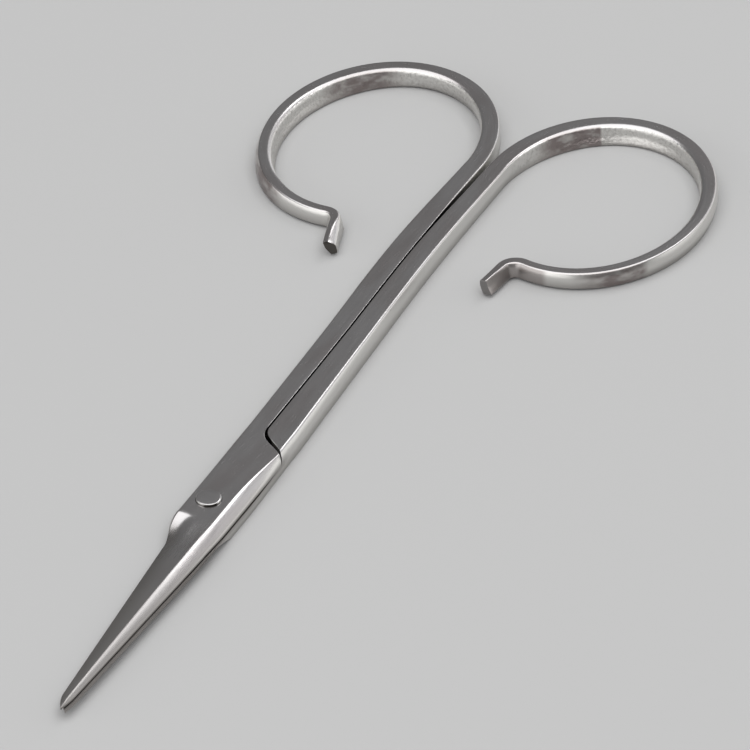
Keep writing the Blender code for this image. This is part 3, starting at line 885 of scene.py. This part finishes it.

# Stretches of the rings' walls painted darker as a dark reflection: degrees round the ring with how
# softly each end fades, and whether it lies on the inside
UPPER_DARK_REFLECTIONS = [
    ((122, 4.0 * MM), (142, 4.0 * MM), True),
    ((216, 4.0 * MM), (238, 2.5 * MM), False),
]
LOWER_DARK_REFLECTIONS = [
    ((36, 3.5 * MM), (62, 0.4 * MM), True),
    ((219, 1.0 * MM), (236, 4.0 * MM), False),
]

# Where the finish of the two halves differs: how far it is shifted, its painted dark reflections, the
# colour of the hook's cut end (painted shade on the upper half) and how strong the hook's painted dark
# reflection is
LOWER_FINISH = {
    "shift": (0, 0.013, 0.007),
    "dark_reflections": LOWER_DARK_REFLECTIONS,
    "cut_end_colour": LOWER_CUT_STEEL,
    "hook_dark_reflection": 0.65,
}
UPPER_FINISH = {
    "shift": (0.11, 0.031, 0),
    "dark_reflections": UPPER_DARK_REFLECTIONS,
    "cut_end_colour": UPPER_CUT_SHADE,
    "hook_dark_reflection": 0,
}

# Where a wall turns into a flat, and where the rounded edge between them begins and ends: by how
# far the face looks up or down, 0 to 1
WALL_TO_FLAT = (0.55, 0.85)
WALL_TO_EDGE = (0.30, 0.60)
EDGE_TO_FLAT = (0.80, 0.97)

# Places along the bar from its start in the joint, and across it towards the ring's inside
BLADE_ALONG = (-30 * MM, -11 * MM)
JOINT_ALONG = (1 * MM, 3.5 * MM)
GAP_ALONG = (44 * MM, 56 * MM)
RING_ALONG = (56 * MM, 62 * MM)
INSIDE_ACROSS = (0.3 * MM, 0.6 * MM)
GAP_ACROSS = (-0.6 * MM, -0.3 * MM)

# Painted shade lies beside the lap seam, in the gap past the shoulder, in the rivet's hole and at
# the walls' feet; near the bar's end lie the hook's painted dark reflection and its cut end's colour
LAP_SHADE_REACH = (0.10 * MM, 0.75 * MM)
GAP_SHADE_PAST_SHOULDER = (-0.1 * MM, 0.5 * MM)
HOLE_SHADE_PAST_RIM = (0.01 * MM, 0.04 * MM)
FOOT_SHADE_HEIGHT = 1.4 * MM
HOOK_REFLECTION_BEFORE_END = (9.2 * MM, 8.4 * MM)
CUT_BEFORE_END = (0.09 * MM, 0.03 * MM)
LAP_SHADE_SHARE = 0.75
FOOT_SHADE_SHARE = 0.65
BLADE_STEEL_SHARE = 0.8

# Sizes and strengths of the patterns
GRAIN = {"Length": 3 * MM, "Width": 0.05 * MM}
SATIN_GRAIN = {"Length": 4 * MM, "Width": 0.08 * MM}
SCRATCHES = {"Length": 2.6 * MM, "Width": 0.05 * MM, "Turn": 0.22}
PITS = {"Spacing": 0.9 * MM, "Radius": 0.08, "Share": 0.12}
FILE_MARKS = {"Size": 0.34 * MM}
CLOUD_SIZE = (9 * MM, 2.5 * MM)
CLOUD_LEVELS = (0.38, 0.66)
UNEVEN_SIZE = (1.6 * MM, 0.8 * MM)
UNEVEN_LEVELS = (0.30, 0.62)
UNEVEN_LEAST = 0.45
DULL_MARKS = (0.34, 0.50)
BRIGHT_MARKS = (0.52, 0.66)
SCRATCH_LEVELS = (0.66, 0.74)
PIT_LEAST_SIZE = 0.4
PIT_RIM = 0.6
FINE_MARK_SIZE = 0.3
FINE_MARK_SHARE = 0.35

GRAIN_DEPTH = 0.0002 * MM
FILE_MARK_DEPTH = 0.09 * MM
SCRATCH_DEPTH = 0.0003 * MM
PIT_DEPTH = 0.006 * MM

GRAIN_LEVELS = (0.3, 0.7)
GRAIN_ROUGHNESS = (0.22, 0.27)
WALL_ROUGHER = 0.10
BLADE_ROUGHER = 0.13
SCRATCH_ROUGHER = 0.02
EDGE_SMOOTHER = 0.05


def path_runs(stations):
    """The way from the path's start to each station."""
    run = [0]
    for station, following in zip(stations, stations[1:]):
        run.append(run[-1] + (following["middle"] - station["middle"]).length)
    return run


def dark_reflection_runs(half, dark_reflections):
    """The stretches with a painted dark reflection as lengths along the bar's path."""
    ring_start = len(shank_path(half, bar_start_y(half)))
    run = path_runs(bar_path(half))
    stretches = []
    for start, end, inner in dark_reflections:
        ends = []
        for degrees, softness in (start, end):
            i = ring_start + round(RING_STEPS * math.radians(degrees) / half.hook.sweep)
            ends.append((run[i], softness))
        stretches.append((*ends, inner))
    return stretches


def note_places(piece, half, stations):
    """Keep on every point where it lies along, across and above the bar, for the finish."""
    tree = kdtree.KDTree(len(stations))
    run = path_runs(stations)
    for i, station in enumerate(stations):
        tree.insert(station["middle"], i)
    tree.balance()
    last = len(stations) - 1
    values = []
    for vertex in piece.data.vertices:
        place = Vector(half.unplace(vertex.co))
        level = Vector((place.x, place.y, BAR_THICKNESS / 2))
        _, i, _ = tree.find(level)
        offset = level - stations[i]["middle"]
        ahead = stations[min(i + 1, last)]["middle"] - stations[max(i - 1, 0)]["middle"]
        along = run[i] + offset.dot(ahead.normalized())
        values.append(Vector((along, offset.dot(stations[i]["left_way"]), vertex.co.z)))
    keep(piece.data, "bar_place", values)


def finish_group(name, sizes, output, pattern):
    """A shader node group with a Place, its own sizes and one output that the pattern gives."""
    tree = bpy.data.node_groups.new(name, "ShaderNodeTree")
    add_socket(tree, "Place", "Vector")
    for socket, default in sizes.items():
        add_socket(tree, socket, "Float", default=default)
    add_socket(tree, output, "Float", "OUTPUT")
    result = pattern(tree, tree.nodes.new("NodeGroupInput").outputs)
    feed(tree, tree.nodes.new("NodeGroupOutput").inputs[0], result)
    return tree


def divided(tree, vector, along, across):
    """A place measured in lengths along the bar and in widths across it."""
    return vector_maths(tree, "DIVIDE", vector, combined(tree, along, across, across))[0]


def noise(tree, vector, detail):
    return outputs(tree, "ShaderNodeTexNoise", {"Vector": vector, "Scale": 1, "Detail": detail})[0]


def ranged(tree, value, low, high, to_low=0, to_high=1):
    """A smooth rise from one value to another between two limits."""
    inputs = dict(enumerate((value, low, high, to_low, to_high)))
    return outputs(tree, "ShaderNodeMapRange", inputs, interpolation_type="SMOOTHSTEP")[0]


def grain_lines(tree, given):
    """Lines left by the grinding wheel: long and narrow."""
    return noise(tree, divided(tree, given["Place"], given["Length"], given["Width"]), detail=3)


def scratch_lines(tree, given):
    """Few fine scratches, at a slight angle to the grain."""
    inputs = {"Vector": given["Place"], "Angle": given["Turn"]}
    turned = outputs(tree, "ShaderNodeVectorRotate", inputs, rotation_type="Z_AXIS")[0]
    lines = noise(tree, divided(tree, turned, given["Length"], given["Width"]), detail=1)
    return ranged(tree, lines, *SCRATCH_LEVELS)


def round_pits(tree, given):
    """Small round pits, in some cells only."""
    in_cells = divided(tree, given["Place"], given["Spacing"], given["Spacing"])
    cells = outputs(tree, "ShaderNodeTexVoronoi", {"Vector": in_cells, "Scale": 1})
    chosen = outputs(tree, "ShaderNodeSeparateColor", {0: cells["Color"]})
    holds = maths(tree, "LESS_THAN", chosen[0], given["Share"])
    size = product(tree, given["Radius"], maths(tree, "ADD", chosen[1], PIT_LEAST_SIZE))
    inside = ranged(tree, maths(tree, "DIVIDE", cells["Distance"], size), PIT_RIM, 1, 1, 0)
    return product(tree, holds, inside)


def file_faces(tree, given):
    """Uneven small faces left by file and stone inside the rings."""
    broad = noise(tree, divided(tree, given["Place"], given["Size"], given["Size"]), detail=1)
    fine_size = product(tree, given["Size"], FINE_MARK_SIZE)
    fine = noise(tree, divided(tree, given["Place"], fine_size, fine_size), detail=2)
    return blended(tree, broad, fine, FINE_MARK_SHARE)


FINISH_GROUPS = {
    "grain": finish_group("ground_grain", GRAIN, "Height", grain_lines),
    "scratches": finish_group("scratches", SCRATCHES, "Mask", scratch_lines),
    "pits": finish_group("pits", PITS, "Mask", round_pits),
    "file_marks": finish_group("file_marks", FILE_MARKS, "Height", file_faces),
}


def finish(tree, kind, place, sizes):
    """Use one of the finish groups with the given sizes."""
    return outputs(tree, "ShaderNodeGroup", {"Place": place, **sizes}, node_tree=FINISH_GROUPS[kind])[0]


def tinted(tree, first, second, share):
    """Two colours mixed: the node's sockets for colours are its inputs 6 and 7 and its output 2."""
    return outputs(tree, "ShaderNodeMix", {0: share, 6: first, 7: second}, data_type="RGBA")[2]


def dark_reflection_share(tree, at, stretches):
    """How strongly the painted dark reflection lies on the rings' walls, 0 to 1."""
    total = 0
    for (start, start_softness), (end, end_softness), inner in stretches:
        begun = ranged(tree, at["along"], start - start_softness, start)
        ended = ranged(tree, at["along"], end, end + end_softness, 1, 0)
        side = at["inside"] if inner else maths(tree, "SUBTRACT", 1, at["inside"])
        total = maths(tree, "ADD", product(tree, begun, ended, side), total)
    return product(tree, total, at["wall"])


# Where painted shade goes in the rivet's hole
def drilled(tree):
    """The rivet's hole, by the distance from the rivet's axis."""
    place = outputs(tree, "ShaderNodeTexCoord", {})["Object"]
    level = vector_maths(tree, "MULTIPLY", place, (1, 1, 0))[0]
    rim = RIVET_HEAD_RADIUS + RIVET_GAP
    limits = [rim + reach for reach in HOLE_SHADE_PAST_RIM]
    return ranged(tree, vector_maths(tree, "LENGTH", level)["Value"], *limits, 1, 0)


def surface_masks(tree, bar_place, shoulder_run):
    """Where a point lies on the bar, and how much it belongs to each part of the surface."""
    along, across, height = split(tree, bar_place)
    normal = outputs(tree, "ShaderNodeTexCoord", {})["Normal"]
    upright = maths(tree, "ABSOLUTE", split(tree, normal)[2])
    wall = ranged(tree, upright, *WALL_TO_FLAT, 1, 0)
    edge_begun = ranged(tree, upright, *WALL_TO_EDGE)
    inside = ranged(tree, across, *INSIDE_ACROSS)
    beside_gap = ranged(tree, across, *GAP_ACROSS, 1, 0)
    # Painted shade beside the lap seam at the joint and at the walls' feet
    off_lap = maths(tree, "ABSOLUTE", maths(tree, "SUBTRACT", height, BAR_THICKNESS / 2))
    near_lap = ranged(tree, off_lap, *LAP_SHADE_REACH, LAP_SHADE_SHARE, 0)
    at_joint = ranged(tree, along, *JOINT_ALONG, 1, 0)
    at_foot = product(tree, ranged(tree, height, 0, FOOT_SHADE_HEIGHT, FOOT_SHADE_SHARE, 0), wall)
    past_shoulder = ranged(tree, along, *(shoulder_run + reach for reach in GAP_SHADE_PAST_SHOULDER))
    before_ring = ranged(tree, along, *GAP_ALONG, 1, 0)
    return {
        "along": along,
        "wall": wall,
        "inside": inside,
        "edge": product(tree, edge_begun, ranged(tree, upright, *EDGE_TO_FLAT, 1, 0)),
        "filed": product(tree, wall, inside, ranged(tree, along, *RING_ALONG)),
        "blade": ranged(tree, along, *BLADE_ALONG, 1, 0),
        "shade_at_seam_and_feet": maths(tree, "MAXIMUM", product(tree, near_lap, at_joint), at_foot),
        "gap": product(tree, beside_gap, wall, before_ring, past_shoulder),
    }


def bar_end_colour(tree, colour, at, cut_end, cut_end_colour, hook_dark_reflection):
    """The hook's walls, with a painted dark reflection by a share, and its darker cut end."""
    # Painted dark reflection on the hook's walls, by the given share
    hook = ranged(tree, at["along"], *(cut_end - reach for reach in HOOK_REFLECTION_BEFORE_END))
    colour = tinted(tree, colour, PAINTED_DARK_REFLECTION, product(tree, hook, at["wall"], hook_dark_reflection))
    # On the upper half the cut end's dark colour is painted shade
    cut = ranged(tree, at["along"], *(cut_end - reach for reach in CUT_BEFORE_END))
    return tinted(tree, colour, cut_end_colour, cut)


def steel_colour(tree, place, at, stretches, end):
    """Clean steel first, then what filing and wear have done to it, then painted shade and painted dark
    reflections.
    """
    cloud = ranged(tree, noise(tree, divided(tree, place, *CLOUD_SIZE), detail=2), *CLOUD_LEVELS)
    blotches = noise(tree, divided(tree, place, *UNEVEN_SIZE), detail=2)
    uneven = ranged(tree, blotches, *UNEVEN_LEVELS, UNEVEN_LEAST, 1)
    marks = finish(tree, "file_marks", place, FILE_MARKS)
    filed = tinted(tree, FILED_DULL, WALL_STEEL, ranged(tree, marks, *DULL_MARKS))
    filed = tinted(tree, filed, FILED_BRIGHT, ranged(tree, marks, *BRIGHT_MARKS))
    colour = tinted(tree, STEEL, STEEL_WARM, cloud)
    colour = tinted(tree, colour, WALL_STEEL, at["wall"])
    colour = tinted(tree, colour, BLADE_STEEL, product(tree, at["blade"], BLADE_STEEL_SHARE))
    colour = tinted(tree, colour, filed, product(tree, at["filed"], uneven))
    # Painted shade at the walls' feet and beside the lap seam
    colour = tinted(tree, colour, SEAM_AND_FOOT_SHADE, at["shade_at_seam_and_feet"])
    # Painted shade in the parting gap and, on pieces with an end, in the rivet's hole
    painted_gap_shade = at["gap"]
    if end:
        painted_gap_shade = maths(tree, "MAXIMUM", painted_gap_shade, product(tree, drilled(tree), at["wall"]))
    colour = tinted(tree, colour, GAP_AND_HOLE_SHADE, painted_gap_shade)
    # Painted dark reflection on stretches of the ring walls
    colour = tinted(tree, colour, PAINTED_DARK_REFLECTION, product(tree, dark_reflection_share(tree, at, stretches), uneven))
    return bar_end_colour(tree, colour, at, *end) if end else colour


def half_steel(name, shift, shoulder_run, stretches=(), end=None):
    """The steel of one piece, with its finish shifted, so that no two pieces wear alike.

    The end, where the piece has one, holds the bar's whole run, its cut's colour and the strength of the
    hook's painted dark reflection.
    """
    material = bpy.data.materials.new(name)
    material.use_nodes = True
    tree = material.node_tree
    shader = tree.nodes["Principled BSDF"]
    bar_place = outputs(tree, "ShaderNodeAttribute", {}, attribute_name="bar_place")["Vector"]
    place = vector_maths(tree, "ADD", bar_place, shift)[0]
    at = surface_masks(tree, bar_place, shoulder_run)
    pits = finish(tree, "pits", place, PITS)
    scratches = finish(tree, "scratches", place, SCRATCHES)

    colour = steel_colour(tree, place, at, stretches, end)
    feed(tree, shader.inputs["Base Color"], tinted(tree, colour, PIT_COLOUR, pits))
    shader.inputs["Metallic"].default_value = 1.0

    satin = ranged(tree, finish(tree, "grain", place, SATIN_GRAIN), *GRAIN_LEVELS, *GRAIN_ROUGHNESS)
    for part, rougher in (
        (at["wall"], WALL_ROUGHER),
        (at["blade"], BLADE_ROUGHER),
        (scratches, SCRATCH_ROUGHER),
        (at["edge"], -EDGE_SMOOTHER),
    ):
        satin = maths(tree, "MULTIPLY_ADD", part, rougher, satin)
    feed(tree, shader.inputs["Roughness"], satin)

    filed = product(tree, finish(tree, "file_marks", place, FILE_MARKS), at["filed"])
    height = product(tree, finish(tree, "grain", place, GRAIN), GRAIN_DEPTH)
    for part, depth in ((filed, FILE_MARK_DEPTH), (scratches, -SCRATCH_DEPTH), (pits, -PIT_DEPTH)):
        height = maths(tree, "MULTIPLY_ADD", part, depth, height)
    bump = outputs(tree, "ShaderNodeBump", {"Strength": 1, "Distance": 1, "Height": height})[0]
    feed(tree, shader.inputs["Normal"], bump)
    return material


bar_tree = swept_bar_tree()
for half, given in ((lower, LOWER_FINISH), (upper, UPPER_FINISH)):
    whole_run = path_runs(bar_path(half))[-1]
    shoulder_run = shoulder_side_y(half.far) - bar_start_y(half)
    stretches = dark_reflection_runs(half, given["dark_reflections"])
    end = (whole_run, given["cut_end_colour"], given["hook_dark_reflection"])
    steel = half_steel(half.node + "_steel", given["shift"], shoulder_run, stretches, end)
    piece = make_half(half, bar_tree, steel)
    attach(piece, half.body)
    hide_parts(half.node)


# The rivet
# A plain steel rivet, fast in the lower half: flush below, a low filed head above. The upper half
# turns on it.

RIVET_STAND = 0.15 * MM
RIVET_LIP = 0.10 * MM
RIVET_DOME = 0.03 * MM
DOME_STEPS = 8
RIVET_SHIFT = (0.05, 0, 0)

# On the rivet the bar's places are plain x, y and z: painted shade lies at its wall from this x on
RIVET_SHADE_FROM_X = -0.2 * MM


def rivet_profile():
    top = BAR_THICKNESS
    crown_radius = RIVET_HEAD_RADIUS - RIVET_LIP
    profile = [(RIVET_HEAD_RADIUS - EDGE_BEVEL, 0), *rivet_sides(0)]
    for sine, cosine in quarter_turn(LIP_STEPS):
        profile.append((crown_radius + RIVET_LIP * cosine, top + RIVET_STAND + RIVET_LIP * sine))
    for sine, cosine in quarter_turn(DOME_STEPS)[1:-1]:
        profile.append((crown_radius * cosine, top + RIVET_STAND + RIVET_LIP + RIVET_DOME * sine))
    return profile


rivet = turned_body("pivot_rivet_visual", rivet_profile())
rivet.data.shade_smooth()
rivet.data.set_sharp_from_angle(angle=math.radians(SHARP_DEGREES))
keep(rivet.data, "bar_place", [vertex.co for vertex in rivet.data.vertices])
rivet.data.materials.append(half_steel("rivet_steel", RIVET_SHIFT, RIVET_SHADE_FROM_X))
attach(rivet, "lower")
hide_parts("pivot_rivet")


# The table and the light
# The scissors lie on a plain pale table under a large soft overhead lamp. Weaker soft lamps stand
# low and high behind them to the right and in front of them to the left, and a small one picks
# out the blades' ridge.

FLOOR_SIZE = 4.0
FLOOR_GREY = 0.46
FLOOR_ROUGHNESS = 0.9
FLOOR_SPECULAR = 0.2
WORLD_GREY = 0.20
LAMP_DISTANCE = 1.0

# Headings are degrees from +Y towards +X, up is degrees above the table, the rest sizes in metres
# and the radiance at the lamp's face
LAMPS = {
    "overhead_lamp": {"heading": 153, "up": 79, "width": 1.80, "height": 1.80, "radiance": 1.60},
    "ridge_lamp": {"heading": 4, "up": 46, "width": 0.33, "height": 0.20, "radiance": 4.0},
    "back_lamp": {"heading": 38, "up": 10, "width": 2.00, "height": 0.46, "radiance": 0.95},
    "facet_lamp": {"heading": 36, "up": 33, "width": 1.70, "height": 0.32, "radiance": 0.68},
    "front_lamp": {"heading": 213, "up": 20, "width": 2.40, "height": 0.55, "radiance": 1.3},
}

floor_mesh = bpy.data.meshes.new("floor")
corners = [(-1, -1), (1, -1), (1, 1), (-1, 1)]
points = [(FLOOR_SIZE / 2 * x, FLOOR_SIZE / 2 * y, 0) for x, y in corners]
floor_mesh.from_pydata(points, [], [(0, 1, 2, 3)])
floor = new_piece("floor", floor_mesh)
paint = bpy.data.materials.new("table_paint")
paint.use_nodes = True
paint_inputs = paint.node_tree.nodes["Principled BSDF"].inputs
paint_inputs["Base Color"].default_value = (FLOOR_GREY, FLOOR_GREY, FLOOR_GREY, 1)
paint_inputs["Roughness"].default_value = FLOOR_ROUGHNESS
paint_inputs["Specular IOR Level"].default_value = FLOOR_SPECULAR
floor_mesh.materials.append(paint)

world = bpy.data.worlds.new("studio")
world.use_nodes = True
background = world.node_tree.nodes["Background"]
background.inputs["Color"].default_value = (WORLD_GREY, WORLD_GREY, WORLD_GREY, 1)
bpy.context.scene.world = world


def soft_lamp(name, heading, up, width, height, radiance):
    """An area lamp aimed at the scissors, with the given radiance at its face."""
    heading, up = math.radians(heading), math.radians(up)
    level = Vector((math.sin(heading), math.cos(heading), 0))
    place = (level * math.cos(up) + Vector((0, 0, math.sin(up)))) * LAMP_DISTANCE
    light = bpy.data.lights.new(name, "AREA")
    light.shape = "RECTANGLE"
    light.size = width
    light.size_y = height
    light.energy = radiance * math.pi * width * height
    lamp = bpy.data.objects.new(name, light)
    lamp.location = place
    lamp.rotation_euler = (-place).to_track_quat("-Z", "Y").to_euler()
    bpy.context.scene.collection.objects.link(lamp)


for name, lamp in LAMPS.items():
    soft_lamp(name, **lamp)


# The camera
# It stands where the photograph was taken from: above the blades' side, at a distance and with a
# long lens.

CAMERA_PLACE = (247.89 * MM, -460.36 * MM, 396.95 * MM)
CAMERA_HEADING_DEGREES = -26.472
CAMERA_DOWN_DEGREES = 36.0
CAMERA_ROLL_DEGREES = -0.686
CAMERA_LENS = 315.98
CAMERA_NEAREST = 0.01
CAMERA_FARTHEST = 20

view = bpy.data.cameras.new("camera")
view.lens = CAMERA_LENS
view.clip_start = CAMERA_NEAREST
view.clip_end = CAMERA_FARTHEST
camera = bpy.data.objects.new("camera", view)
heading, down = math.radians(CAMERA_HEADING_DEGREES), math.radians(CAMERA_DOWN_DEGREES)
roll = math.radians(CAMERA_ROLL_DEGREES)
ahead = Vector((math.sin(heading) * math.cos(down), math.cos(heading) * math.cos(down), -math.sin(down)))
level = Vector((math.cos(heading), -math.sin(heading), 0))
upright = level.cross(ahead)
right = level * math.cos(roll) + upright * math.sin(roll)
top = upright * math.cos(roll) - level * math.sin(roll)
camera.matrix_world = Matrix.Translation(CAMERA_PLACE) @ Matrix((right, top, -ahead)).transposed().to_4x4()
bpy.context.scene.collection.objects.link(camera)
bpy.context.scene.camera = camera
bpy.context.scene.view_settings.view_transform = "Standard"
